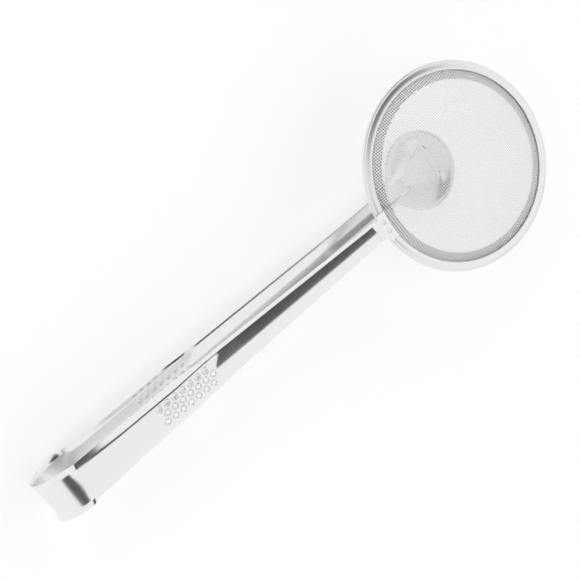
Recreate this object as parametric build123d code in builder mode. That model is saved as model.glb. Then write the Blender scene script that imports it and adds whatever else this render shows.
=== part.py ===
"""Mesh strainer tongs for frying: a springy folded steel strip, a rimmed wire sieve and a press pan.

Frame: +X runs from the tail bend to the sieve, +Z up, and the tool lies on its clamp side.
X = 0 and Y = 0 are the middle of its box, and Z = 0 is the surface that it rests on.
All sizes are millimetres.
"""

import os
from math import atan, ceil, cos, degrees, radians, sin, sqrt, tan

from build123d import *

# ---- the whole tool ----
overall_length = 269.8  # curled edges of the tail bend to the far edge of the rim
sheet = 0.8  # thickness of the folded strip

# ---- tail bend ----
bend_radius = 15.5  # outside of the strip on its centre line
lip_flare = 1.3  # how far each edge curls outward
lip_reach = 1.9  # width of one curled edge
saddle_dip = 0.35  # the strip is hollow between its curled edges
bend_half_width = 8.8

# ---- arms, as channels with their edges turned toward each other ----
neck_gap = 37.2  # outside to outside of the two arms, beside the rim
arm_width_tail = 16.6
arm_width_grip = 15.4
arm_width_neck = 9.4
flange_depth_tail = 4.2
flange_depth_neck = 2.8
crown_rise = 0.9  # arch of the outer face
corner_radius = 1.5
flange_lean = 0.4  # each flange splays outward by this much
grip_distance = 52.0  # bend centre to the middle of the grip
clamp_width_neck = 11.0

# ---- grip holes ----
grip_holes = 7  # along each row
grip_pitch = 3.95
grip_row_spacing = 3.05
collar_radius = 1.25
collar_hole_radius = 0.7
collar_height = 0.55

# ---- press pan on the clamp arm ----
pan_radius = 19.0
pan_offset = 3.5  # pan centre beyond the rim's centre
pan_depth = 3.2
pan_neck_length = 25.0  # pan centre back to the joint with the arm
pan_flare_radius = 8.0  # hollow curve from the neck into the pan
floor_back_width = 5.5
floor_front_width = 20.0
floor_front_reach = 9.0  # front edge of the flat floor beyond the pan centre
floor_back_reach = 8.5  # back edge of the flat floor behind the pan centre
floor_corner = 2.0
pan_tip_angle = 40.0  # half of the tip, in degrees
pan_tip_blunt = 0.3
pan_wall_inset = 0.9

# ---- rim ----
rim_radius = 46.5
rim_inner_radius = 42.1
rim_thickness = 1.7
rim_sheet = 0.5
rim_cone = 0.4  # the front face falls by this much toward its outer edge
rim_pitch_up = 3.25  # degrees from level
mesh_clearance = 0.05

# ---- sieve ----
mesh_thickness = 0.6
dome_height = 10.0
dome_foot = 0.3  # the dome starts this far inside the rim
cloth_edge_radius = 45.0
hem_inner_radius = 37.9
hem_thickness = 0.4
mesh_pitch = 4.1  # the openings are coarser than the woven cloth
mesh_opening = 3.0
mesh_open_radius = 37.0

# ---- tab that laps over the rim ----
tab_half_span = 6.4
tab_width = 8.0
tab_length = 2.6  # bare tab between the channel and the rim
tab_root = 2.0  # how far the straight tab reaches onto the rim
tab_overlap = 0.6  # the tab runs into the arm's end by this much
tab_fillet = 1.4
tab_edge_gap = 0.3  # the tab stops short of the rim's outer edge
weld_radius = 1.25
weld_spacing = 4.5
weld_height = 0.25
weld_inset = 1.7  # weld centres inside the rim's outer edge

# ---- places that follow ----
bend_x = -overall_length / 2 + bend_radius + lip_flare
bend_z = bend_radius + lip_flare
ring_x = overall_length / 2 - rim_radius * cos(radians(rim_pitch_up))
pan_x = ring_x + pan_offset
pan_joint_x = pan_x - pan_neck_length
clamp_run = pan_joint_x - bend_x
clamp_fall = degrees(atan(lip_flare / clamp_run))
neck_x = ring_x - rim_radius
strainer_run = neck_x - bend_x
strainer_rise = degrees(atan((neck_gap - 2 * bend_radius) / strainer_run)) - clamp_fall

strainer_turn = radians(strainer_rise)
clamp_turn = radians(clamp_fall)
strainer_plane = Plane(
    origin=(bend_x - bend_radius * sin(strainer_turn), 0, bend_z + bend_radius * cos(strainer_turn)),
    x_dir=(cos(strainer_turn), 0, sin(strainer_turn)),
    z_dir=(-sin(strainer_turn), 0, cos(strainer_turn)),
)
clamp_plane = Plane(
    origin=(bend_x - bend_radius * sin(clamp_turn), 0, bend_z - bend_radius * cos(clamp_turn)),
    x_dir=(cos(clamp_turn), 0, -sin(clamp_turn)),
    z_dir=(-sin(clamp_turn), 0, -cos(clamp_turn)),
)
strainer_length = (neck_x - tab_length - strainer_plane.origin.X) / cos(strainer_turn)
clamp_length = (pan_joint_x - clamp_plane.origin.X) / cos(clamp_turn)
neck_z = strainer_plane.origin.Z + (neck_x - strainer_plane.origin.X) * tan(strainer_turn)
ring_tilt = radians(rim_pitch_up)
ring_plane = Plane(
    origin=(ring_x, 0, neck_z - rim_sheet + rim_radius * sin(ring_tilt)),
    x_dir=(cos(ring_tilt), 0, sin(ring_tilt)),
    z_dir=(-sin(ring_tilt), 0, cos(ring_tilt)),
)


def channel_points(half_width, depth, inset):
    """One side of a channel section, from the flange edge to the crown; inset moves it inward."""
    radius = corner_radius - inset
    centre_y = half_width - flange_lean - corner_radius
    centre_z = -crown_rise - corner_radius
    return [
        (half_width - inset, -depth),
        (centre_y + radius, centre_z),
        (centre_y + radius * sin(radians(45)), centre_z + radius * cos(radians(45))),
        (centre_y, centre_z + radius),
        (0, -inset),
    ]


def channel_section(arm_plane, distance, width, depth):
    """The channel's section across one arm, at a distance along it."""
    place = arm_plane.location * Location((distance, 0, 0))
    across = Plane(origin=place.position, x_dir=arm_plane.y_dir, z_dir=arm_plane.x_dir)
    outer = channel_points(width / 2, depth, 0)
    inner = channel_points(width / 2, depth, sheet)
    with BuildSketch(across) as section:
        with BuildLine():
            for edge, flange, bend, shoulder, crown in (outer, inner):
                Line((-edge[0], edge[1]), (-flange[0], flange[1]))
                ThreePointArc((-flange[0], flange[1]), (-bend[0], bend[1]), (-shoulder[0], shoulder[1]))
                ThreePointArc((-shoulder[0], shoulder[1]), crown, shoulder)
                ThreePointArc(shoulder, bend, flange)
                Line(flange, edge)
            Line(outer[0], inner[0])
            Line((-outer[0][0], outer[0][1]), (-inner[0][0], inner[0][1]))
        make_face()
    return section.sketch


def grip_places():
    """Centres of the grip holes: three rows, the middle one moved on by half a pitch."""
    half = (grip_holes - 1) / 2
    for row in (-1, 0, 1):
        for step in range(grip_holes):
            shift = 0.5 * grip_pitch * (1 - abs(row)) - 0.25 * grip_pitch
            yield grip_distance + (step - half) * grip_pitch + shift, row * grip_row_spacing


def crown_fall(width, offset):
    """How far the arched face lies below its crown, at a distance from the centre line."""
    shoulder = width / 2 - flange_lean - corner_radius
    radius = (shoulder**2 + crown_rise**2) / (2 * crown_rise)
    return radius - sqrt(radius**2 - offset**2)


def arm_blank(arm_plane, run, end_width):
    """A bent channel from the tail to the neck, with its grip holes raised outward."""
    with BuildPart() as arm:
        for distance, width, depth in (
            (0, arm_width_tail, flange_depth_tail),
            (grip_distance, arm_width_grip, flange_depth_tail),
            (run, end_width, flange_depth_neck),
        ):
            add(channel_section(arm_plane, distance, width, depth))
        loft(ruled=True)
        for distance, offset in grip_places():
            fall = crown_fall(arm_width_grip, offset)
            with BuildSketch(arm_plane.offset(-fall - sheet / 2)):
                with Locations((distance, offset)):
                    Circle(collar_radius)
            extrude(amount=collar_height + sheet / 2)
        for distance, offset in grip_places():
            with BuildSketch(arm_plane.offset(1)):
                with Locations((distance, offset)):
                    Circle(collar_hole_radius)
            extrude(amount=-4, mode=Mode.SUBTRACT)
    return arm.part


# ---- strainer arm with the tab that laps over the rim ----
with BuildPart() as strainer_arm:
    add(arm_blank(strainer_plane, strainer_length, arm_width_neck))
    with BuildSketch(ring_plane):
        Circle(rim_radius - tab_edge_gap)
        Circle(rim_inner_radius, mode=Mode.SUBTRACT)
        with Locations((-rim_radius, 0)):
            Rectangle(2 * tab_half_span, 2 * tab_half_span, mode=Mode.INTERSECT)
        with Locations((-rim_radius + tab_root, 0)):
            Rectangle(tab_length + tab_root + tab_overlap, tab_width, align=(Align.MAX, Align.CENTER))
        fillet(vertices().group_by(Axis.X)[1], radius=tab_fillet)
    extrude(amount=rim_sheet)
strainer_arm.part.label = "strainer_arm"

# ---- tail bend: a saddle strip turned about the Y axis, with curled edges ----
with BuildPart() as tail_spring:
    with BuildSketch(Plane(origin=(bend_x, 0, bend_z), x_dir=(0, 1, 0), z_dir=(1, 0, 0))):
        with BuildLine():
            flat_edge = bend_half_width - lip_reach
            for skin in (0, sheet):
                dip = bend_radius - skin
                shoulder = dip + saddle_dip
                tip = dip + lip_flare
                ThreePointArc((-flat_edge, shoulder), (0, dip), (flat_edge, shoulder))
                for side in (-1, 1):
                    middle_y = side * (flat_edge + 0.55 * lip_reach)
                    middle = (middle_y, shoulder + 0.3 * (tip - shoulder))
                    ThreePointArc((side * flat_edge, shoulder), middle, (side * bend_half_width, tip))
            for side in (-1, 1):
                edge_y = side * bend_half_width
                Line((edge_y, bend_radius + lip_flare), (edge_y, bend_radius - sheet + lip_flare))
        make_face()
    revolve(
        axis=Axis((bend_x, 0, bend_z), (0, 1, 0)),
        revolution_arc=-(180 - strainer_rise - clamp_fall),
    )
tail_spring.part = tail_spring.part.rotate(Axis((bend_x, 0, bend_z), (0, 1, 0)), -strainer_rise)
tail_spring.part.label = "tail_spring"

# ---- clamp arm ----
with BuildPart() as clamp_arm:
    add(arm_blank(clamp_plane, clamp_length, clamp_width_neck))
clamp_arm.part.label = "clamp_arm"


# ---- press pan: a shallow stamped dish whose neck carries on from the clamp arm ----
pan_plane = Plane(origin=(pan_x, 0, 0))
neck_floor = clamp_width_neck / 2 - flange_lean - corner_radius


def pan_floor(height, inset):
    """The pan's flat floor: a narrow neck that widens to a straight front edge."""
    neck = neck_floor - inset
    back = floor_back_width / 2 - inset
    front = floor_front_width / 2 - inset
    reach = floor_front_reach - inset
    with BuildSketch(pan_plane.offset(height)) as outline:
        with BuildLine():
            Polyline(
                (-pan_neck_length, -neck), (-floor_back_reach, -back), (reach, -front),
                (reach, front), (-floor_back_reach, back), (-pan_neck_length, neck), close=True,
            )
        make_face()
        fillet(vertices().group_by(Axis.X)[-1], radius=floor_corner)
    return outline.sketch


def pan_rim(height, inset):
    """The pan's upper edge: a neck, two hollow flares, round sides and a slightly blunt tip."""
    radius = pan_radius - inset
    flare = pan_flare_radius + inset
    neck = clamp_width_neck / 2 - inset
    flare_x = -sqrt((radius + flare) ** 2 - (neck + flare) ** 2)
    touch = Vector(flare_x, neck + flare) * (radius / (radius + flare))
    tip_corner = Vector(radius, 0).rotate(Axis.Z, pan_tip_angle)
    with BuildSketch(pan_plane.offset(height)) as outline:
        with BuildLine():
            Line((-pan_neck_length, -neck), (-pan_neck_length, neck))
            for side in (-1, 1):
                Line((-pan_neck_length, side * neck), (flare_x, side * neck))
                TangentArc((flare_x, side * neck), (touch.X, side * touch.Y), tangent=(1, 0))
                ThreePointArc(
                    (touch.X, side * touch.Y), (0, side * radius), (tip_corner.X, side * tip_corner.Y)
                )
            ThreePointArc(
                (tip_corner.X, -tip_corner.Y), (radius - pan_tip_blunt, 0), (tip_corner.X, tip_corner.Y)
            )
        make_face()
    return outline.sketch


with BuildPart() as press_plate:
    add(pan_floor(0, 0))
    add(pan_rim(pan_depth, 0))
    loft(ruled=True)
    with BuildPart(mode=Mode.PRIVATE) as hollow:
        add(pan_floor(sheet, pan_wall_inset / 2))
        add(pan_rim(pan_depth, pan_wall_inset))
        loft(ruled=True)
    add(hollow.part, mode=Mode.SUBTRACT)
press_plate.part.label = "press_plate"

# ---- rim: one folded ring, open inward to grip the edge of the sieve ----
slot_top = -rim_sheet
slot_bottom = -rim_sheet - mesh_thickness - 2 * mesh_clearance
bead_radius = rim_thickness / 2
bead_start = rim_radius - bead_radius
slot_end = rim_radius - 2 * rim_sheet
profile_plane = Plane(origin=ring_plane.origin, x_dir=ring_plane.x_dir, z_dir=-ring_plane.y_dir)
ring_axis = Axis(ring_plane.origin, ring_plane.z_dir)


def cone_fall(radius):
    """How far the rim's conical faces have fallen at a radius."""
    return rim_cone * (radius - rim_inner_radius) / (bead_start - rim_inner_radius)


with BuildPart() as rim_ring:
    with BuildSketch(profile_plane):
        with BuildLine():
            front = Line((rim_inner_radius, 0), (bead_start, -rim_cone))
            back = Line((rim_inner_radius, -rim_thickness), (bead_start, -rim_cone - rim_thickness))
            ThreePointArc(front @ 1, (rim_radius, -rim_cone - bead_radius), back @ 1)
            slot_front = Line((rim_inner_radius, slot_top), (slot_end, slot_top - cone_fall(slot_end)))
            slot_back = Line((rim_inner_radius, slot_bottom), (slot_end, slot_bottom - cone_fall(slot_end)))
            Line(slot_front @ 1, slot_back @ 1)
            Line(front @ 0, slot_front @ 0)
            Line(back @ 0, slot_back @ 0)
        make_face()
    revolve(axis=ring_axis)
rim_ring.part.label = "rim_ring"


# ---- sieve: a domed cloth whose flat edge lies in the rim's slot ----
cloth_top = slot_top - mesh_clearance
dome_radius = rim_inner_radius - dome_foot
sphere_radius = (dome_radius**2 + dome_height**2) / (2 * dome_height)


def dome_point(radius, drop):
    """A point on the dome, at a distance from its axis and a drop below its upper skin."""
    rise = sqrt(sphere_radius**2 - radius**2) - (sphere_radius - dome_height)
    return radius, cloth_top + rise - drop


with BuildPart() as sieve_mesh:
    with BuildSketch(profile_plane):
        with BuildLine():
            foot = dome_point(dome_radius, 0)
            edge_top = (cloth_edge_radius, cloth_top - cone_fall(cloth_edge_radius))
            edge_bottom = (cloth_edge_radius, edge_top[1] - mesh_thickness)
            Polyline(foot, edge_top, edge_bottom, dome_point(dome_radius, mesh_thickness))
            for drop in (0, mesh_thickness):
                ThreePointArc(
                    dome_point(0, drop), dome_point(dome_radius / 2, drop), dome_point(dome_radius, drop)
                )
            Line(dome_point(0, 0), dome_point(0, mesh_thickness))
        make_face()
    revolve(axis=ring_axis)
    with BuildSketch(ring_plane.offset(-2 * dome_height)):
        reach = mesh_open_radius - mesh_opening * sqrt(0.5)
        steps = ceil(reach / mesh_pitch)
        for column in range(-steps, steps + 1):
            for row in range(-steps, steps + 1):
                place = ((column + 0.5) * mesh_pitch, (row + 0.5) * mesh_pitch)
                if Vector(place).length < reach:
                    with Locations(place):
                        Rectangle(mesh_opening, mesh_opening)
    extrude(amount=4 * dome_height, mode=Mode.SUBTRACT)
sieve_mesh.part.label = "sieve_mesh"

# ---- hem: the cloth's folded edge, a second layer inside the dome beside the rim ----
with BuildPart() as hem_band:
    with BuildSketch(profile_plane):
        with BuildLine():
            middle_radius = (hem_inner_radius + dome_radius) / 2
            for drop in (mesh_thickness, mesh_thickness + hem_thickness):
                ThreePointArc(
                    dome_point(hem_inner_radius, drop), dome_point(middle_radius, drop),
                    dome_point(dome_radius, drop),
                )
            for radius in (hem_inner_radius, dome_radius):
                Line(dome_point(radius, mesh_thickness), dome_point(radius, mesh_thickness + hem_thickness))
        make_face()
    revolve(axis=ring_axis)
hem_band.part.label = "hem_band"

# ---- two spot welds that fix the tab to the rim ----
with BuildPart() as spot_welds:
    with BuildSketch(ring_plane.offset(rim_sheet)):
        with GridLocations(0, weld_spacing, 1, 2):
            with Locations((-rim_radius + weld_inset, 0)):
                Circle(weld_radius)
    extrude(amount=weld_height)
    fillet(faces().group_by(ring_axis)[-1].edges(), radius=weld_height / 2)
spot_welds.part.label = "spot_welds"

os.makedirs("parts", exist_ok=True)
for piece in (
    strainer_arm, tail_spring, clamp_arm, press_plate, rim_ring, sieve_mesh, hem_band, spot_welds,
):
    export_step(piece.part, f"parts/{piece.part.label}.step")
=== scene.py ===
# %% [markdown]
# # Mesh strainer tongs
#
# The real tool is one strip of thin stainless steel, folded at the tail so that its two arms spring
# open. One arm carries a rimmed sieve of woven wire, and the other ends in a small pressed pan that
# squeezes food against the sieve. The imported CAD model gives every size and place. This lesson lays
# smooth skins, real wires and polished steel over it.

import bmesh
import bpy
import numpy as np
from mathutils import Matrix, Vector


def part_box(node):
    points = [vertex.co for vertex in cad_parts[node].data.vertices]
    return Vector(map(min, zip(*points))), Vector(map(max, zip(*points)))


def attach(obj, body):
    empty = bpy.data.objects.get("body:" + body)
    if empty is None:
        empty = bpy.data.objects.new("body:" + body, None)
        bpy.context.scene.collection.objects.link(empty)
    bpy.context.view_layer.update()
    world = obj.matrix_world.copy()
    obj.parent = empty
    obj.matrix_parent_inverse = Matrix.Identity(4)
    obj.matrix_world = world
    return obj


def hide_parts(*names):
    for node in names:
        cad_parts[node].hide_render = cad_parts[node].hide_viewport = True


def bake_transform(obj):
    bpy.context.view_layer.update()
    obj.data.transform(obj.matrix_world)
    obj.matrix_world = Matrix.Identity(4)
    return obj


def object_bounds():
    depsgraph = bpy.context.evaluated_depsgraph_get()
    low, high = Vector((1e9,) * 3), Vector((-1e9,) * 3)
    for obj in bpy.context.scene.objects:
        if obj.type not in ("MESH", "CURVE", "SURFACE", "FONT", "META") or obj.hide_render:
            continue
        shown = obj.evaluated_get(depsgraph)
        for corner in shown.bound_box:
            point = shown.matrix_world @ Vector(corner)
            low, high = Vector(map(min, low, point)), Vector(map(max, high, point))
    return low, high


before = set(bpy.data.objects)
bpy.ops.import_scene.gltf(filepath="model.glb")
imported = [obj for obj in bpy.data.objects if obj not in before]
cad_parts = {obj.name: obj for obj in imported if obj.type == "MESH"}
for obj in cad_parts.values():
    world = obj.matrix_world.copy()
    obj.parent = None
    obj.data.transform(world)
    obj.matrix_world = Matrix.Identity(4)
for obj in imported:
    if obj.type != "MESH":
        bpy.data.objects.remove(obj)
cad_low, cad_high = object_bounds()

# %% [markdown]
# ## Sizes and places
#
# A maker's drawing has few driving sizes, and every place follows from them. The same sizes drive the
# CAD model, so the places here are taken from its boxes: the tail bend gives the hinge line, and the
# rim gives the middle of the sieve.

# %% Driving sizes, in metres
mm = 0.001
sheet = 0.8 * mm
bend_radius = 15.5 * mm
lip_flare = 1.3 * mm
neck_gap = 37.2 * mm
rim_radius = 46.5 * mm
rim_inner_radius = 42.1 * mm
rim_thickness = 1.7 * mm
rim_sheet = 0.5 * mm
rim_cone = 0.4 * mm
rim_pitch_up = np.radians(3.25)
dome_height = 10.0 * mm
dome_foot = rim_inner_radius - 0.3 * mm
hem_inner_radius = 37.9 * mm
tab_length = 2.6 * mm
grip_distance = 52.0 * mm
grip_holes = 7
grip_pitch = 3.95 * mm
grip_row_spacing = 3.05 * mm
pan_neck_length = 25 * mm
pan_depth = 3.2 * mm

# %% Places that follow from the frame
tail_low = np.array(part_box("tail_spring")[0])
rim_low, rim_high = (np.array(corner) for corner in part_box("rim_ring"))
pan_low = np.array(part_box("press_plate")[0])
bend_centre = np.array([tail_low[0] + bend_radius + lip_flare, 0, bend_radius + lip_flare])
ring_rise = rim_inner_radius * np.sin(rim_pitch_up)
ring_centre = np.array([(rim_low[0] + rim_high[0]) / 2, 0, rim_high[2] - ring_rise])
pan_centre = np.array([pan_low[0] + pan_neck_length, 0, pan_low[2]])
neck_x = ring_centre[0] - rim_radius

clamp_run = pan_low[0] - bend_centre[0]
clamp_turn = np.arctan(lip_flare / clamp_run)
strainer_run = neck_x - bend_centre[0]
strainer_turn = np.arctan((neck_gap - 2 * bend_radius) / strainer_run) - clamp_turn
for name, centre in (("bend", bend_centre), ("ring", ring_centre), ("pan", pan_centre)):
    print(name, "centre, mm:", (centre / mm).round(2))

# %% [markdown]
# ## Surfaces from arrays
#
# Every new piece is a grid of points worked out at once with numpy. A small helper joins the points
# to their neighbours. Several grids may make one piece: where their edges meet, the doubled points
# are merged, and then the faces are turned outward. Each grid also keeps two distances in metres,
# along and across, as a UV map, so that brushing can follow the sheet.

# %% Grids of points become one mesh
across = np.array([0.0, 1.0, 0.0])


def grid_faces(rows, columns, wrap_rows=False, wrap_columns=False):
    """Quads between neighbours: corner (i, j) goes with (i + 1, j), (i + 1, j + 1) and (i, j + 1)."""
    index = np.arange(rows * columns).reshape(rows, columns)
    if wrap_rows:
        index = np.vstack([index, index[:1]])
    if wrap_columns:
        index = np.hstack([index, index[:, :1]])
    corners = [index[:-1, :-1], index[1:, :-1], index[1:, 1:], index[:-1, 1:]]
    return np.stack(corners, axis=-1).reshape(-1, 4)


def grid(points, uv=None, wrap_rows=False, wrap_columns=False):
    """One patch for make_piece: its points, its two distances and its faces."""
    rows, columns = points.shape[:2]
    if uv is None:
        uv = np.stack(np.meshgrid(np.arange(rows), np.arange(columns), indexing="ij"), axis=-1) * mm
    faces = grid_faces(rows, columns, wrap_rows, wrap_columns)
    return points.reshape(-1, 3), uv.reshape(-1, 2), faces


def make_piece(name, patches, body, replaces=(), weld=True, sharp=40):
    """Joins patches into one smooth piece that moves with a CAD body."""
    starts = np.cumsum([0] + [len(points) for points, _, _ in patches])
    points = np.concatenate([points for points, _, _ in patches])
    uv = np.concatenate([distances for _, distances, _ in patches])
    faces = np.concatenate([faces + start for (_, _, faces), start in zip(patches, starts)])
    mesh = bpy.data.meshes.new(name)
    mesh.vertices.add(len(points))
    mesh.vertices.foreach_set("co", points.astype(np.float32).ravel())
    mesh.loops.add(faces.size)
    mesh.loops.foreach_set("vertex_index", faces.astype(np.int32).ravel())
    mesh.polygons.add(len(faces))
    mesh.polygons.foreach_set("loop_start", np.arange(0, faces.size, 4, dtype=np.int32))
    layer = mesh.uv_layers.new(name="sheet")
    layer.data.foreach_set("uv", uv[faces.ravel()].astype(np.float32).ravel())
    mesh.update(calc_edges=True)
    mesh.validate()
    if weld:
        close_up(mesh)
    mesh.shade_smooth()
    mesh.set_sharp_from_angle(angle=np.radians(sharp))
    piece = bpy.data.objects.new(name, mesh)
    bpy.context.scene.collection.objects.link(piece)
    if body:
        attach(piece, body)
    if replaces:
        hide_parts(*replaces)
    print(f"{name}: {len(mesh.vertices)} points, {len(mesh.polygons)} faces")
    return piece


def close_up(mesh):
    """Merges doubled points, drops faces that have no area and turns the rest outward."""
    shell = bmesh.new()
    shell.from_mesh(mesh)
    bmesh.ops.remove_doubles(shell, verts=shell.verts, dist=0.002 * mm)
    bmesh.ops.dissolve_degenerate(shell, edges=shell.edges, dist=0.001 * mm)
    bmesh.ops.recalc_face_normals(shell, faces=shell.faces)
    shell.to_mesh(mesh)
    shell.free()


# %% [markdown]
# ## The section of the strip
#
# Across the strip there is a crown, then a rounded corner, then a flank. Round the tail the flank
# curls outward as a lip, so that no sharp edge meets the hand. Along the arms it turns inward and
# makes a stiff channel. The section is walked from the middle line outward: the crown is a height
# over the width, and past it a direction angle turns while small steps are added up.

# %% Sizes of the section along one arm
arm_stations = np.array([0, 27, 50, 64, 154]) * mm
arm_half_width = np.array([8.3, 8.0, 7.75, 6.9, 4.6]) * mm
flank_turn = np.radians([14, 46, 52, 80, 82])
flank_flat = np.array([1.6, 2.5, 2.6, 1.7, 1.3]) * mm
corner_length = 1.6 * mm
bend_half_width = 8.8 * mm
lip_turn = np.radians(-30)
lip_flat = 0.9 * mm
saddle_dip = 0.35 * mm
crown_arch = 0.35 * mm
ridge_start = 66 * mm
ridge_turn = np.radians(13)
ridge_round = 0.9 * mm
ridge_climb = 0.17
grip_band = 1.5 * grip_row_spacing
crown_steps = 12
corner_steps = 8


def smooth_step(value, low, high):
    """Rises from 0 at low to 1 at high, level at both ends."""
    part = np.clip((value - low) / (high - low), 0, 1)
    return part * part * (3 - 2 * part)


def crown_height(distance, offset, lip):
    """Height of the crown over its middle line.

    It is the higher of a flat floor that sinks past ridge_start and a roof that falls to both sides,
    with the join rounded. A lip lifts the sides by the saddle's dip.
    """
    flat = -ridge_climb * np.maximum(distance - ridge_start, 0)
    slope = np.tan(ridge_turn) * smooth_step(distance, ridge_start - 6 * mm, ridge_start + 2 * mm)
    roof = -slope * (np.sqrt(offset**2 + ridge_round**2) - ridge_round)
    blend = 0.12 * mm * smooth_step(distance, ridge_start - 6 * mm, ridge_start)
    higher = (flat + roof + np.sqrt((flat - roof) ** 2 + blend**2) - blend) / 2
    arch = -crown_arch * (1 - lip) * (offset / bend_half_width) ** 2
    return higher + arch + saddle_dip * lip * (offset / bend_half_width) ** 2


def crown_slope(distance, offset, lip):
    """Direction angle of the crown, positive where it falls away from the middle."""
    step = 0.01 * mm
    fall = crown_height(distance, offset - step, lip) - crown_height(distance, offset + step, lip)
    return np.arctan2(fall, 2 * step)


def half_section(distance, lip):
    """Offsets, heights and direction angles from the middle line to the edge, one row a station."""
    distance = distance[:, None]
    lip = lip[:, None]
    turn = (1 - lip) * np.interp(distance, arm_stations, flank_turn) + lip * lip_turn
    flat = (1 - lip) * np.interp(distance, arm_stations, flank_flat) + lip * lip_flat
    half_width = (1 - lip) * np.interp(distance, arm_stations, arm_half_width) + lip * bend_half_width
    corner = np.linspace(0, 1, corner_steps + 1)[None, :] * corner_length
    flank = corner_length + flat * np.array([0.33, 0.67, 1])
    path = np.hstack([np.repeat(corner, len(distance), axis=0), flank])
    start = crown_slope(distance, half_width - 3 * mm, lip)
    steps = np.diff(path, axis=1)
    middle = (path[:, 1:] + path[:, :-1]) / 2
    heading = start + (turn - start) * np.clip(middle / corner_length, 0, 1)
    reach = np.cumsum(np.cos(heading) * steps, axis=1)
    drop = np.cumsum(np.sin(heading) * steps, axis=1)
    crown_end = half_width - reach[:, -1:]
    inside = np.minimum(grip_band, crown_end - 0.1 * mm) * np.arange(crown_steps + 1) / crown_steps
    offset = np.hstack([inside, crown_end])
    height = crown_height(distance, offset, lip)
    slope = crown_slope(distance, offset, lip)
    edge_slope = start + (turn - start) * np.clip(path[:, 1:] / corner_length, 0, 1)
    return (
        np.hstack([offset, crown_end + reach]),
        np.hstack([height, height[:, -1:] - drop]),
        np.hstack([slope, edge_slope]),
    )


def section_loop(distance, lip):
    """The closed section at each station: the outer skin from edge to edge, and the inner one back."""
    offset, height, slope = half_section(distance, lip)
    skins = []
    for inset in (0, sheet):
        y = offset - inset * np.sin(slope)
        z = height - inset * np.cos(slope)
        skins.append((np.hstack([-y[:, :0:-1], y]), np.hstack([z[:, :0:-1], z])))
    (outer_y, outer_z), (inner_y, inner_z) = skins
    y = np.hstack([outer_y, inner_y[:, ::-1]])
    z = np.hstack([outer_z, inner_z[:, ::-1]])
    return np.stack([y, z], axis=-1)


sample = section_loop(np.array([50 * mm]), np.zeros(1))
print("grip section is", ((sample.max(axis=1) - sample.min(axis=1)) / mm).round(2), "mm")

# %% [markdown]
# ## Carrying the section along the arms and round the tail
#
# An arm is straight: a point goes out along the arm, sideways by its offset and up by its height.
# In the tail the same section turns about the hinge line, so its height adds to the bend's radius.
# The strip is cut into three pieces where the bodies meet, with equal sections at the cuts.

# %% Frames of the two arms
def arm_frame(turn, side):
    """Start, direction and outward direction of one arm; side is 1 for the upper arm."""
    along = np.array([np.cos(turn), 0, side * np.sin(turn)])
    outward = np.array([-np.sin(turn), 0, side * np.cos(turn)])
    return bend_centre + bend_radius * outward, along, outward


def on_arm(arm, distance, offset, height):
    """Points at a distance along an arm, an offset across it and a height over its middle line."""
    start, along, outward = arm
    distance, offset, height = np.broadcast_arrays(distance, offset, height)
    return start + distance[..., None] * along + offset[..., None] * across + height[..., None] * outward


strainer_arm = arm_frame(strainer_turn, 1)
clamp_arm = arm_frame(clamp_turn, -1)
strainer_length = (neck_x - tab_length - strainer_arm[0][0]) / np.cos(strainer_turn)
clamp_length = (pan_low[0] - clamp_arm[0][0]) / np.cos(clamp_turn)
lip_end = {"strainer": (-3 * mm, 1.5 * mm), "clamp": (-3 * mm, 6.5 * mm)}


def lip_share(distance, side):
    """1 where the flank is a lip and 0 where it is a channel's flank."""
    return 1 - smooth_step(distance, *lip_end[side])


# %% Grip holes, drawn outward into collars
cell_steps = 8
collar_profile = np.array([
    (1.50, 0), (1.38, 0.05), (1.27, 0.22), (1.17, 0.44), (1.02, 0.55), (0.86, 0.50), (0.76, 0.36),
    (0.72, 0.10), (0.72, -0.45), (0.80, -0.68), (1.0, -0.80), (1.3, -0.80),
]) * mm


def cell_border(length, width):
    """The border of a rectangle as equal steps, walked once round from one corner."""
    part = np.linspace(0, 1, cell_steps, endpoint=False) - 0.5
    half = np.full(cell_steps, 0.5)
    x = np.concatenate([part, half, -part, -half]) * length
    y = np.concatenate([-half, part, half, -part]) * width
    return np.stack([x, y], axis=-1)


def grip_cell(arm, side, distance, row_offset):
    """One hole in its own rectangle: the border shrinks to circles that climb the collar's profile."""
    border = cell_border(grip_pitch, grip_row_spacing)
    outward = border / np.linalg.norm(border, axis=1, keepdims=True)
    rings = outward[None] * collar_profile[:, :1, None]
    rings = np.concatenate([border[None], rings, border[None]])
    raise_by = np.concatenate([[0], collar_profile[:, 1], [-sheet]])[:, None]
    along = distance + rings[..., 0]
    offset = row_offset + rings[..., 1]
    lip = lip_share(along, side)
    slope = crown_slope(along, offset, lip)
    height = crown_height(along, offset, lip) + raise_by * np.cos(slope)
    points = on_arm(arm, along, offset + raise_by * np.sin(slope), height)
    return grid(points, np.stack([along, offset], axis=-1), wrap_columns=True)


def plain_patch(arm, side, distances, offsets):
    """A piece of crown without a hole, as an outer and an inner skin."""
    along, offset = np.meshgrid(distances, offsets, indexing="ij")
    lip = lip_share(along, side)
    slope = crown_slope(along, offset, lip)
    height = crown_height(along, offset, lip)
    for inset in (0, sheet):
        points = on_arm(arm, along, offset - inset * np.sin(slope), height - inset * np.cos(slope))
        yield grid(points, np.stack([along, offset], axis=-1))


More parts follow.
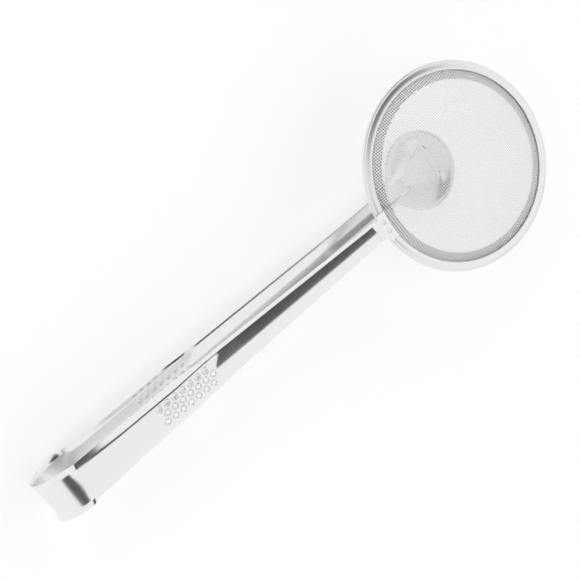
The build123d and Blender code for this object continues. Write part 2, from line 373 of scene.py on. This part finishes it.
def grip_patches(arm, side):
    """Three rows of holes, the middle row moved on by half a pitch, and plain crown at the row ends."""
    for row in (-1, 0, 1):
        shift = 0.5 * (1 - abs(row)) - 0.25
        for step in range(grip_holes):
            place = grip_distance + (step - (grip_holes - 1) / 2 + shift) * grip_pitch
            yield grip_cell(arm, side, place, row * grip_row_spacing)
        start = grip_distance + (-grip_holes / 2 - 0.25 if row == 0 else grip_holes / 2 - 0.25) * grip_pitch
        distances = start + np.arange(cell_steps // 2 + 1) / cell_steps * grip_pitch
        offsets = (row - 0.5 + np.arange(cell_steps + 1) / cell_steps) * grip_row_spacing
        yield from plain_patch(arm, side, distances, offsets)


# %% One arm as a channel with its grip
grip_low = grip_distance - (grip_holes / 2 + 0.25) * grip_pitch
grip_high = grip_distance + (grip_holes / 2 + 0.25) * grip_pitch
grip_steps = int(2 * (grip_holes + 0.5) * cell_steps / 2)


def channel_patch(arm, side, distances, skip_crown=False):
    """The section carried along an arm; the grip's crown is left open where skip_crown is set."""
    loop = section_loop(distances, lip_share(distances, side))
    points = on_arm(arm, distances[:, None], loop[..., 0], loop[..., 1])
    strides = np.linalg.norm(np.diff(loop, axis=1), axis=-1)
    girth = np.hstack([np.zeros((len(loop), 1)), np.cumsum(strides, axis=1)])
    uv = np.stack([np.repeat(distances[:, None], loop.shape[1], axis=1), girth], axis=-1)
    flat_points, flat_uv, faces = grid(points, uv, wrap_columns=True)
    if skip_crown:
        columns = loop.shape[1]
        half = columns // 2
        middle = half // 2
        column = np.arange(len(faces)) % columns
        from_outer = np.abs(column + 0.5 - middle)
        from_inner = np.abs(column + 0.5 - half - middle)
        faces = faces[(from_outer >= crown_steps) & (from_inner >= crown_steps)]
    return flat_points, flat_uv, faces


def end_cap(points):
    """Closes the end of a strip: a ladder of quads between its outer and its inner skin."""
    half = len(points) // 2
    ladder = np.stack([points[:half], points[half:][::-1]])
    return grid(ladder)


def arm_patches(arm, side, length):
    """Channel from the tail to the grip, the grip itself, and channel on to the neck."""
    before = np.unique(np.concatenate([np.linspace(0, 8 * mm, 25), np.linspace(8 * mm, grip_low, 25)]))
    grip = np.linspace(grip_low, grip_high, grip_steps + 1)
    after = np.unique(np.concatenate([np.linspace(grip_high, 80 * mm, 25), np.linspace(80 * mm, length, 40)]))
    patches = [
        channel_patch(arm, side, before),
        channel_patch(arm, side, grip, skip_crown=True),
        channel_patch(arm, side, after),
        *grip_patches(arm, side),
    ]
    for distance in (0.0, length):
        loop = section_loop(np.array([distance]), lip_share(np.array([distance]), side))[0]
        patches.append(end_cap(on_arm(arm, distance, loop[:, 0], loop[:, 1])))
    return patches


print("the grip runs from", round(grip_low / mm, 1), "to", round(grip_high / mm, 1), "mm")

# %% [markdown]
# ## Tab and tail
#
# The strainer arm ends in a flat tab that widens through two hollow corners and laps over the rim.
# Its outline is a half width that depends on the distance, and the far edge is an arc of the rim.

# %% Points on the sieve's own axes
ring_along = np.array([np.cos(rim_pitch_up), 0, np.sin(rim_pitch_up)])
ring_up = np.array([-np.sin(rim_pitch_up), 0, np.cos(rim_pitch_up)])


def on_ring(x, y, height):
    """Points from places on the rim's front plane and a height over it."""
    x, y, height = np.broadcast_arrays(x, y, height)
    return ring_centre + x[..., None] * ring_along + y[..., None] * across + height[..., None] * ring_up


def turned(radius, height, angles):
    """A profile turned about the sieve's axis: one row for each profile point, one column an angle."""
    radius, height = np.asarray(radius)[:, None], np.asarray(height)[:, None]
    return on_ring(radius * np.cos(angles), radius * np.sin(angles), height)


# %% The tab that laps over the rim
tab_half_width = 4.0 * mm
tab_half_span = 6.4 * mm
tab_corner = 2.2 * mm
tab_edge_gap = 0.3 * mm


def tab_patches():
    """Half width against distance: straight, then a quarter circle, then the full span on the rim."""
    back = -(rim_radius + tab_length + 0.6 * mm)
    shoulder = -(rim_radius - tab_edge_gap) + 0.3 * mm
    part = np.concatenate([np.linspace(0, 1, 4), 1 + np.linspace(0, 1, 17)[1:], 2 + np.linspace(0, 1, 9)[1:]])
    x = np.interp(part, [0, 1, 2, 3], [back, shoulder - tab_corner, shoulder, -rim_inner_radius])
    into_corner = np.clip(x - (shoulder - tab_corner), 0, tab_corner)
    widen = tab_corner - np.sqrt(tab_corner**2 - into_corner**2)
    half_width = np.where(x < shoulder, tab_half_width + widen, tab_half_span)
    v = np.linspace(-1, 1, 33)
    y = half_width[:, None] * v
    bow = rim_inner_radius - np.sqrt(rim_inner_radius**2 - y**2)
    x = x[:, None] + bow * np.clip(part - 2, 0, 1)[:, None]
    top = on_ring(x, y, rim_sheet)
    bottom = on_ring(x, y, 0.01 * mm)
    loop = np.concatenate([top, bottom[:, ::-1]], axis=1)
    uv = np.concatenate([np.stack([x, y], axis=-1)] * 2, axis=1)
    return [grid(loop, uv, wrap_columns=True), end_cap(loop[0]), end_cap(loop[-1])]


tool_arm = make_piece(
    "strainer_arm_strip",
    arm_patches(strainer_arm, "strainer", strainer_length) + tab_patches(),
    "strainer",
    ["strainer_arm"],
)
press_arm = make_piece(
    "clamp_arm_strip", arm_patches(clamp_arm, "clamp", clamp_length), "clamp", ["clamp_arm"]
)


# %% The tail bend
def tail_patches():
    """The section turned about the hinge line, from the clamp arm round to the strainer arm."""
    half_turn = np.pi - strainer_turn - clamp_turn
    angle = np.linspace(0, half_turn, 97)
    from_clamp = -bend_radius * angle
    from_strainer = -bend_radius * (half_turn - angle)
    lip = np.minimum(lip_share(from_clamp, "clamp"), lip_share(from_strainer, "strainer"))
    loop = section_loop(np.zeros(len(angle)), lip)
    start = -np.pi / 2 - clamp_turn
    outward = np.stack([np.cos(start - angle), np.zeros(len(angle)), np.sin(start - angle)], axis=-1)
    radius = (bend_radius + loop[..., 1])[..., None]
    points = bend_centre + outward[:, None, :] * radius + loop[..., :1] * across
    girth = np.cumsum(np.linalg.norm(np.diff(loop, axis=1, prepend=loop[:, :1]), axis=-1), axis=1)
    uv = np.stack([np.repeat(-from_clamp[:, None], loop.shape[1], axis=1), girth], axis=-1)
    return [grid(points, uv, wrap_columns=True), end_cap(points[0]), end_cap(points[-1])]


tail_loop = make_piece("tail_loop", tail_patches(), None, ["tail_spring"])
tail_ends = [tuple(bend_centre + side * np.array([0, 0, bend_radius])) for side in (-1, 1)]
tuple(tail_ends[0])
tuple(tail_ends[1])
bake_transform(tail_loop)

# %% [markdown]
# ## The press pan
#
# The pan is pressed from the clamp arm's own sheet. It has a flat floor that is narrow at the neck
# and wide in front, sloping walls, and a flat round lip. Two outlines, one on the floor and one at
# the lip, are walked together from the neck to the tip, and the wall is drawn between them.

# %% The pan's two outlines
pan_radius = 19 * mm
pan_flare = 8 * mm
pan_lip = 2.0 * mm
pan_neck_half = 5.5 * mm
neck_floor_half = 3.6 * mm
neck_floor_end = -14 * mm
neck_steps = 8
flare_steps = 12
floor_back = (-8.5 * mm, 2.75 * mm)
floor_front = (9.0 * mm, 10.0 * mm)
floor_corner = 2.0 * mm


def path_points(corners, spans):
    """Points along straight runs between corners, with a number of steps on each run."""
    runs = [np.linspace(a, b, n, endpoint=False) for a, b, n in zip(corners[:-1], corners[1:], spans)]
    return np.vstack([*runs, corners[-1:]])


def pan_rim_line(inset, steps):
    """Neck, hollow flare and round pan, as points at equal shares of each stretch."""
    radius = pan_radius - inset
    flare = pan_flare + inset
    neck = pan_neck_half - inset
    flare_x = -np.sqrt((radius + flare) ** 2 - (neck + flare) ** 2)
    meet = np.arctan2(neck + flare, -flare_x)
    straight = np.linspace((-pan_neck_length, neck), (flare_x, neck), steps[0], endpoint=False)
    bend = np.linspace(-np.pi / 2, -meet, steps[1], endpoint=False)
    hollow = np.stack([flare_x + flare * np.cos(bend), neck + flare + flare * np.sin(bend)], axis=-1)
    angle = np.linspace(np.pi - meet, 0, steps[2] + 1)
    return np.vstack([straight, hollow, np.stack([radius * np.cos(angle), radius * np.sin(angle)], axis=-1)])


def pan_floor_line(steps):
    """The floor's edge from the neck to the middle of its front, with the front corner rounded."""
    back, front = np.array(floor_back), np.array(floor_front)
    corner_start = front + (back - front) * 0.12
    corner_end = front - np.array([0, floor_corner])
    bend = np.linspace(0, 1, steps[3])[:, None]
    corner = (1 - bend) ** 2 * corner_start + 2 * bend * (1 - bend) * front + bend**2 * corner_end
    neck_corners = [(-pan_neck_length, neck_floor_half), (neck_floor_end, neck_floor_half), back]
    neck = path_points(np.array(neck_corners), steps[:2])
    side = np.linspace(back, corner_start, steps[2], endpoint=False)
    front_edge = np.linspace(corner_end, (front[0], 0), steps[4] + 1)[1:]
    return np.vstack([neck[:-1], side, corner, front_edge])


# %% The pan's sheet
def pan_patches():
    """Height against the share of the way from the middle line to the lip, rounded at both folds."""
    floor_line = pan_floor_line((10, 6, 14, 9, 12))
    steps = len(floor_line) - 1
    rim_steps = (neck_steps, flare_steps, steps - neck_steps - flare_steps)
    inner_line = pan_rim_line(pan_lip, rim_steps)
    outer_line = pan_rim_line(0, rim_steps)
    middle_line = np.stack([np.minimum(floor_line[:, 0], 4 * mm), np.zeros(len(floor_line))], axis=-1)
    middle_line[:, 0] = np.maximum.accumulate(middle_line[:, 0])
    rows = []
    heights = []
    wall_top = pan_depth - sheet
    sunk = 0.9 * mm * (1 - smooth_step(floor_line[:, 0], -15 * mm, -9 * mm))
    for share in np.linspace(0, 0.92, 7):
        rows.append(middle_line + (floor_line - middle_line) * share)
        heights.append(sunk)
    for share in np.linspace(0.05, 0.95, 13):
        rows.append(floor_line + (inner_line - floor_line) * share)
        bowed = smooth_step(share, -0.12, 1.12) * 0.35 + share * 0.65
        heights.append(sunk + (wall_top - sunk) * bowed)
    for share in np.linspace(0.08, 1, 5):
        rows.append(inner_line + (outer_line - inner_line) * share)
        heights.append(np.full(len(floor_line), wall_top))
    half = np.stack(rows)
    height = np.stack(heights)
    patches = []
    for side in (-1, 1):
        points = pan_centre + np.stack([half[..., 0], side * half[..., 1], height + sheet], axis=-1)
        patches.append(grid(points, half.copy()))
    return patches


press_pan = make_piece("press_pan", pan_patches(), "clamp", ["press_plate"], sharp=50)
wall = press_pan.modifiers.new("sheet", "SOLIDIFY")
wall.thickness = sheet
wall.offset = -1
print("the pan's sheet is", wall.thickness / mm, "mm thick, laid inside its outer skin")

# %% [markdown]
# ## The rim
#
# The rim is a folded ring: a flat band that cones down a little, a rolled outer bead, and a slot on
# the inside that grips the cloth. One closed profile turned about the sieve's axis makes it.

# %% The rim's profile
bead_radius = rim_thickness / 2
turn_angles = np.linspace(0, 2 * np.pi, 256, endpoint=False)


def rim_profile():
    """Front of the band, bead, back of the band and the slot, as radius and height."""
    fold = rim_sheet / 2
    quarter = np.linspace(0, np.pi, 7)
    bead_x = rim_radius - bead_radius
    bead_z = -rim_cone - bead_radius
    groove_x = bead_x - 0.75 * mm
    fold_x = rim_inner_radius + fold - fold * np.sin(quarter)
    front_fold = np.stack([fold_x, -fold - fold * np.cos(quarter)], axis=-1)
    roll = np.linspace(np.pi * 0.62, -np.pi * 0.62, 21)
    bead = np.stack([bead_x + bead_radius * np.cos(roll), bead_z + bead_radius * np.sin(roll)], axis=-1)
    front = [(groove_x - 0.25 * mm, -rim_cone * 0.8), (groove_x, -rim_cone * 0.8 - 0.16 * mm)]
    back = [(groove_x, -rim_cone - rim_thickness + 0.16 * mm)]
    slot_end = rim_radius - 2 * rim_sheet
    slot_low = -rim_thickness + rim_sheet
    slot = [(slot_end, slot_low - rim_cone), (slot_end, -rim_sheet - rim_cone)]
    back_fold = np.stack([fold_x, slot_low - fold + fold * -np.cos(quarter)], axis=-1)
    return np.vstack([front_fold, front, bead, back, back_fold, slot])


profile = rim_profile()
rim_points = turned(profile[:, 0], profile[:, 1], turn_angles)
rim_uv = np.stack(np.broadcast_arrays(turn_angles * rim_radius, profile[:, :1]), axis=-1)
rim_patch = grid(rim_points, rim_uv, wrap_rows=True, wrap_columns=True)
rim = make_piece("rim_band", [rim_patch], "strainer", ["rim_ring"])


# %% The two spot welds
def weld_patch(x, y):
    """A shallow dimple with a raised ring round it, as a profile turned about its own middle."""
    radius = np.array([0, 0.35, 0.7, 0.85, 1.0, 1.15, 1.25]) * mm
    height = np.array([0.05, 0.05, 0.06, 0.13, 0.16, 0.1, -0.02]) * mm
    angle = np.linspace(0, 2 * np.pi, 33)
    ring_x = x + radius[:, None] * np.cos(angle)
    ring_y = y + radius[:, None] * np.sin(angle)
    return grid(on_ring(ring_x, ring_y, rim_sheet + height[:, None]))


weld_inset = 2.1 * mm
weld_x = -(rim_radius - weld_inset)
weld_spacing = 4.5 * mm
welds = [weld_patch(weld_x, side * weld_spacing / 2) for side in (-1, 1)]
spot_welds = make_piece("weld_marks", welds, "strainer", ["spot_welds"])

# %% [markdown]
# ## Woven wire
#
# The sieve is a plain weave: each wire goes over one crossing wire and under the next. All wires of
# one direction are one array of sampled centre lines. A wave along each wire, with its phase
# turned over from wire to wire, makes the weave, and the dome's height is added to it.

# %% The dome and the weave
wire_pitch = 0.95 * mm
wire_width = 0.24 * mm
cloth_turn = np.radians(5)
cloth_top = -rim_sheet - 0.35 * mm
cloth_edge = rim_radius - 2 * rim_sheet - 0.5 * mm
sphere_radius = (dome_foot**2 + dome_height**2) / (2 * dome_height)


def dome(radius):
    """Height of the cloth: part of a sphere up to its foot, and level in the rim's slot."""
    inside = np.sqrt(sphere_radius**2 - np.minimum(radius, dome_foot) ** 2) - (sphere_radius - dome_height)
    slope = rim_cone * np.maximum(radius - rim_inner_radius, 0) / (rim_radius - rim_inner_radius)
    return cloth_top + np.maximum(inside, 0) - slope


def wires(direction, reach, hole=0.0, depth=0.0, shift=0.0):
    """Four-sided wires of one direction; a wire's width shrinks to nothing where the cloth ends."""
    count = int(np.ceil(reach / wire_pitch))
    line = (np.arange(-count, count + 1) + shift) * wire_pitch
    along = np.arange(-2 * count - 2, 2 * count + 3) * wire_pitch / 2
    stretches = [(-1, 1)] if hole == 0 else [(-1, 0), (0, 1)]
    patches = []
    for low, high in stretches:
        outer = np.sqrt(np.maximum(reach**2 - line**2, 0))[:, None]
        inner = np.sqrt(np.maximum(hole**2 - line**2, 0))[:, None]
        first = np.where(low < 0, -outer, inner)
        last = np.where(high > 0, outer, -inner)
        place = np.clip(along[None, :], first, last)
        inside = (along[None, :] > first) & (along[None, :] < last)
        phase = np.pi * (along[None, :] / wire_pitch - shift + np.arange(len(line))[:, None] + direction)
        wave = 0.5 * wire_width * np.cos(phase)
        x, y = (line[:, None] + 0 * place, place) if direction else (place, line[:, None] + 0 * place)
        height = dome(np.hypot(x, y)) + wave - depth
        sides = np.array([(1, 0), (0, 1), (-1, 0), (0, -1)]) * wire_width / 2
        width = inside[..., None] * sides[:, 0]
        thick = inside[..., None] * sides[:, 1]
        x = x[..., None] + (width if direction else 0)
        y = y[..., None] + (0 if direction else width)
        height = height[..., None] + thick
        turned_x = x * np.cos(cloth_turn) - y * np.sin(cloth_turn)
        turned_y = x * np.sin(cloth_turn) + y * np.cos(cloth_turn)
        points = on_ring(turned_x, turned_y, height)
        samples = len(along)
        first_corners = (np.arange(len(line)) * samples * 4)[:, None, None]
        faces = grid_faces(samples, 4, wrap_columns=True)[None] + first_corners
        live = inside[:, :-1] | inside[:, 1:]
        faces = faces.reshape(len(line), samples - 1, 4, 4)[live].reshape(-1, 4)
        if direction:
            faces = faces[:, ::-1]
        used, faces = np.unique(faces, return_inverse=True)
        flat = points.reshape(-1, 3)[used]
        uv = np.stack(np.broadcast_arrays(place[..., None], line[:, None, None] + 0 * height), axis=-1)
        patches.append((flat, uv.reshape(-1, 2)[used], faces.reshape(-1, 4)))
    return patches


warp = make_piece("warp_wires", wires(1, cloth_edge), "strainer", ["sieve_mesh"], weld=False)
weft = make_piece("weft_wires", wires(0, cloth_edge), "strainer", ["sieve_mesh"], weld=False)
hem_depth = 0.42 * mm
hem_layer = (cloth_edge, hem_inner_radius, hem_depth, 0.5)
hem_warp = make_piece("hem_warp", wires(1, *hem_layer), "strainer", ["hem_band"], weld=False)
hem_weft = make_piece("hem_weft", wires(0, *hem_layer), "strainer", ["hem_band"], weld=False)

# %% [markdown]
# ## Polished steel
#
# Steel shows its surroundings, so its finish is mostly roughness: fine lines from brushing run along
# the sheet, and cloudy patches are a little duller. Shader maths reads best as plain expressions, so
# one small class wraps a socket and turns +, - and * into Math nodes.

# %% Sockets that take part in expressions
class Flow:
    """A shader socket, or a plain number, that adds Math nodes when it is used in an expression."""

    def __init__(self, tree, socket):
        self.tree = tree
        self.socket = socket

    def node(self, kind, settings=(), **inputs):
        """Adds a node, sets its settings, feeds its sockets and gives the node itself."""
        made = self.tree.nodes.new(kind)
        for name, value in dict(settings).items():
            setattr(made, name, value)
        for name, value in inputs.items():
            numbered = name[0] == "i" and name[1:].isdigit()
            port = made.inputs[int(name[1:]) if numbered else name.replace("_", " ")]
            if isinstance(value, Flow):
                self.tree.links.new(value.socket, port)
            else:
                port.default_value = value
        return made

    def out(self, kind, output, settings=(), **inputs):
        """Adds a node as node() does, and wraps one of its outputs."""
        return Flow(self.tree, self.node(kind, settings, **inputs).outputs[output])

    def maths(self, operation, first, second):
        """One Math node."""
        return self.out("ShaderNodeMath", 0, {"operation": operation}, i0=first, i1=second)

    def __add__(self, other):
        return self.maths("ADD", self, other)

    def __radd__(self, other):
        return self.maths("ADD", other, self)

    def __sub__(self, other):
        return self.maths("SUBTRACT", self, other)

    def __rsub__(self, other):
        return self.maths("SUBTRACT", other, self)

    def __mul__(self, other):
        return self.maths("MULTIPLY", self, other)

    def __rmul__(self, other):
        return self.maths("MULTIPLY", other, self)


def new_material(name):
    """A material with an empty tree, its Principled shader and a Flow to build on."""
    material = bpy.data.materials.new(name)
    material.use_nodes = True
    tree = material.node_tree
    shader = tree.nodes["Principled BSDF"]
    return material, shader, Flow(tree, None)


def feed(flow, shader, name, value):
    """Links a value to one of the shader's sockets."""
    flow.tree.links.new(value.socket, shader.inputs[name])


# %% Steel of the strip, the rim and the wires
def steel(name, colour, roughness, line_spread, bump):
    """Polished steel: stretched noise on the sheet's own distances gives brushing, clouds dull it."""
    material, shader, flow = new_material(name)
    shader.inputs["Metallic"].default_value = 1
    place = flow.out("ShaderNodeUVMap", "UV", {"uv_map": "sheet"})
    stretched = flow.out("ShaderNodeMapping", "Vector", Vector=place, Scale=(60, 2600, 1))
    lines = flow.out("ShaderNodeTexNoise", 0, Vector=stretched, Scale=1.0, Detail=3.0)
    spot = flow.out("ShaderNodeTexCoord", "Object")
    clouds = flow.out("ShaderNodeTexNoise", 0, Vector=spot, Scale=90.0, Detail=2.0)
    feed(flow, shader, "Roughness", roughness + line_spread * (lines - 0.5) + 0.06 * (clouds - 0.5))
    cloudy = (*[c * 0.96 for c in colour], 1)
    tint = flow.out("ShaderNodeMix", 2, {"data_type": "RGBA"}, i0=clouds, i6=cloudy, i7=(*colour, 1))
    feed(flow, shader, "Base Color", tint)
    dent = flow.out("ShaderNodeBump", 0, Strength=bump, Distance=0.02 * mm, Height=lines)
    feed(flow, shader, "Normal", dent)
    return material


strip_steel = steel("strip_steel", (0.86, 0.86, 0.87), 0.2, 0.1, 0.12)
rim_steel = steel("rim_steel", (0.86, 0.86, 0.87), 0.3, 0.1, 0.15)
wire_steel = steel("wire_steel", (0.80, 0.80, 0.82), 0.35, 0.1, 0.0)
# The hem's wires are the same steel as the cloth; their dark base colour is painted shade, for the shadow
# that falls between the doubled layers of cloth.
hem_painted_shade_steel = steel("hem_painted_shade_steel", (0.20, 0.20, 0.21), 0.45, 0.1, 0.0)
for piece, material in (
    (tool_arm, strip_steel), (press_arm, strip_steel), (tail_loop, strip_steel), (press_pan, strip_steel),
    (rim, rim_steel), (spot_welds, rim_steel), (warp, wire_steel), (weft, wire_steel),
    (hem_warp, hem_painted_shade_steel), (hem_weft, hem_painted_shade_steel),
):
    piece.data.materials.clear()
    piece.data.materials.append(material)
    print(piece.name, "is made of", material.name)

# %% [markdown]
# ## Floor, surroundings and camera
#
# Polished steel needs something to mirror. The surroundings are white all round like a light tent,
# with two round dark openings. One gives the ridge its dark half, and the other gives the tail bend
# its dark patch. The camera sees plain white, and the floor glows a little, so that only a faint
# shadow is left on it.

# %% A pale floor
floor_reach = 3.0
floor_gap = 0.2 * mm
floor_glow = 0.3
floor_corners = [(x * floor_reach, y * floor_reach, 0) for x, y in ((-1, -1), (1, -1), (1, 1), (-1, 1))]
floor_mesh = bpy.data.meshes.new("floor")
floor_mesh.from_pydata(floor_corners, [], [(0, 1, 2, 3)])
floor = bpy.data.objects.new("floor", floor_mesh)
floor.location.z = cad_low[2] - floor_gap
bpy.context.scene.collection.objects.link(floor)
floor_paint = bpy.data.materials.new("floor_paint")
floor_paint.use_nodes = True
tree = floor_paint.node_tree
flow = Flow(tree, None)
paint = tree.nodes["Principled BSDF"]
paint.inputs["Base Color"].default_value = (0.86, 0.86, 0.86, 1)
paint.inputs["Roughness"].default_value = 1
paint.inputs["Specular IOR Level"].default_value = 0
glow = flow.node("ShaderNodeEmission", Color=(1, 1, 1, 1), Strength=floor_glow)
both = flow.node("ShaderNodeAddShader")
tree.links.new(paint.outputs[0], both.inputs[0])
tree.links.new(glow.outputs[0], both.inputs[1])
rays = flow.node("ShaderNodeLightPath")
seen = Flow(tree, rays.outputs["Is Camera Ray"]) + Flow(tree, rays.outputs["Is Glossy Ray"])
mixed = flow.node("ShaderNodeMixShader", i0=seen)
tree.links.new(paint.outputs[0], mixed.inputs[1])
tree.links.new(both.outputs[0], mixed.inputs[2])
tree.links.new(mixed.outputs[0], tree.nodes["Material Output"].inputs["Surface"])
floor_mesh.materials.append(floor_paint)
print("floor at", round(floor.location.z / mm, 2), "mm, glow", floor_glow)

# %% White surroundings with two dark openings
white = (1, 1, 1, 1)
opening_tone = (0.06, 0.06, 0.065, 1)
ridge_opening = ((0.25, 0.35, 0.90), 0.92, 0.95)
bend_opening = ((-0.50, -0.25, 0.83), 0.95, 0.965)
world = bpy.data.worlds.new("light_tent")
bpy.context.scene.world = world
world.use_nodes = True
tree = world.node_tree
flow = Flow(tree, None)
direction = flow.out("ShaderNodeTexCoord", "Generated")
smooth = {"interpolation_type": "SMOOTHSTEP"}
dark = 0.0
for centre, edge, full in (ridge_opening, bend_opening):
    middle = tuple(np.array(centre) / np.linalg.norm(centre))
    near = flow.out("ShaderNodeVectorMath", "Value", {"operation": "DOT_PRODUCT"}, i0=direction, i1=middle)
    dark = dark + flow.out("ShaderNodeMapRange", 0, smooth, Value=near, i1=edge, i2=full, i3=0.0, i4=1.0)
tone = flow.out("ShaderNodeMix", 2, {"data_type": "RGBA"}, i0=dark, i6=white, i7=opening_tone)
rays = flow.node("ShaderNodeLightPath")
camera_ray = Flow(tree, rays.outputs["Is Camera Ray"])
shown = flow.out("ShaderNodeMix", 2, {"data_type": "RGBA"}, i0=camera_ray, i6=tone, i7=white)
tree.links.new(shown.socket, tree.nodes["Background"].inputs["Color"])
tree.nodes["Background"].inputs["Strength"].default_value = 1.0
print("the tent has", len(tree.nodes), "nodes and two dark openings")

# %% The camera, turned so that the tool lies along the diagonal
aim = Vector((-2.04 * mm, 1.83 * mm, 20 * mm))
camera_distance = 428.1 * mm
camera_elevation = np.radians(66.18)
camera_azimuth = np.radians(141.2)
camera_roll = np.radians(90.7)
camera_data = bpy.data.cameras.new("camera")
camera_data.lens = 62.07
camera_data.sensor_width = 36
camera_data.clip_start = 0.01
camera = bpy.data.objects.new("camera", camera_data)
bpy.context.scene.collection.objects.link(camera)
toward = Vector((
    np.cos(camera_elevation) * np.cos(camera_azimuth),
    np.cos(camera_elevation) * np.sin(camera_azimuth),
    np.sin(camera_elevation),
))
upright = toward.to_track_quat("Z", "Y").to_matrix().to_4x4()
place = Matrix.Translation(aim + toward * camera_distance)
camera.matrix_world = place @ upright @ Matrix.Rotation(camera_roll, 4, "Z")
print("the camera stands", round(camera_distance / mm, 1), "mm from what it looks at")
bpy.context.scene.camera = camera
bpy.context.scene.view_settings.view_transform = "Standard"

# %% The last line
bpy.context.view_layer.update()
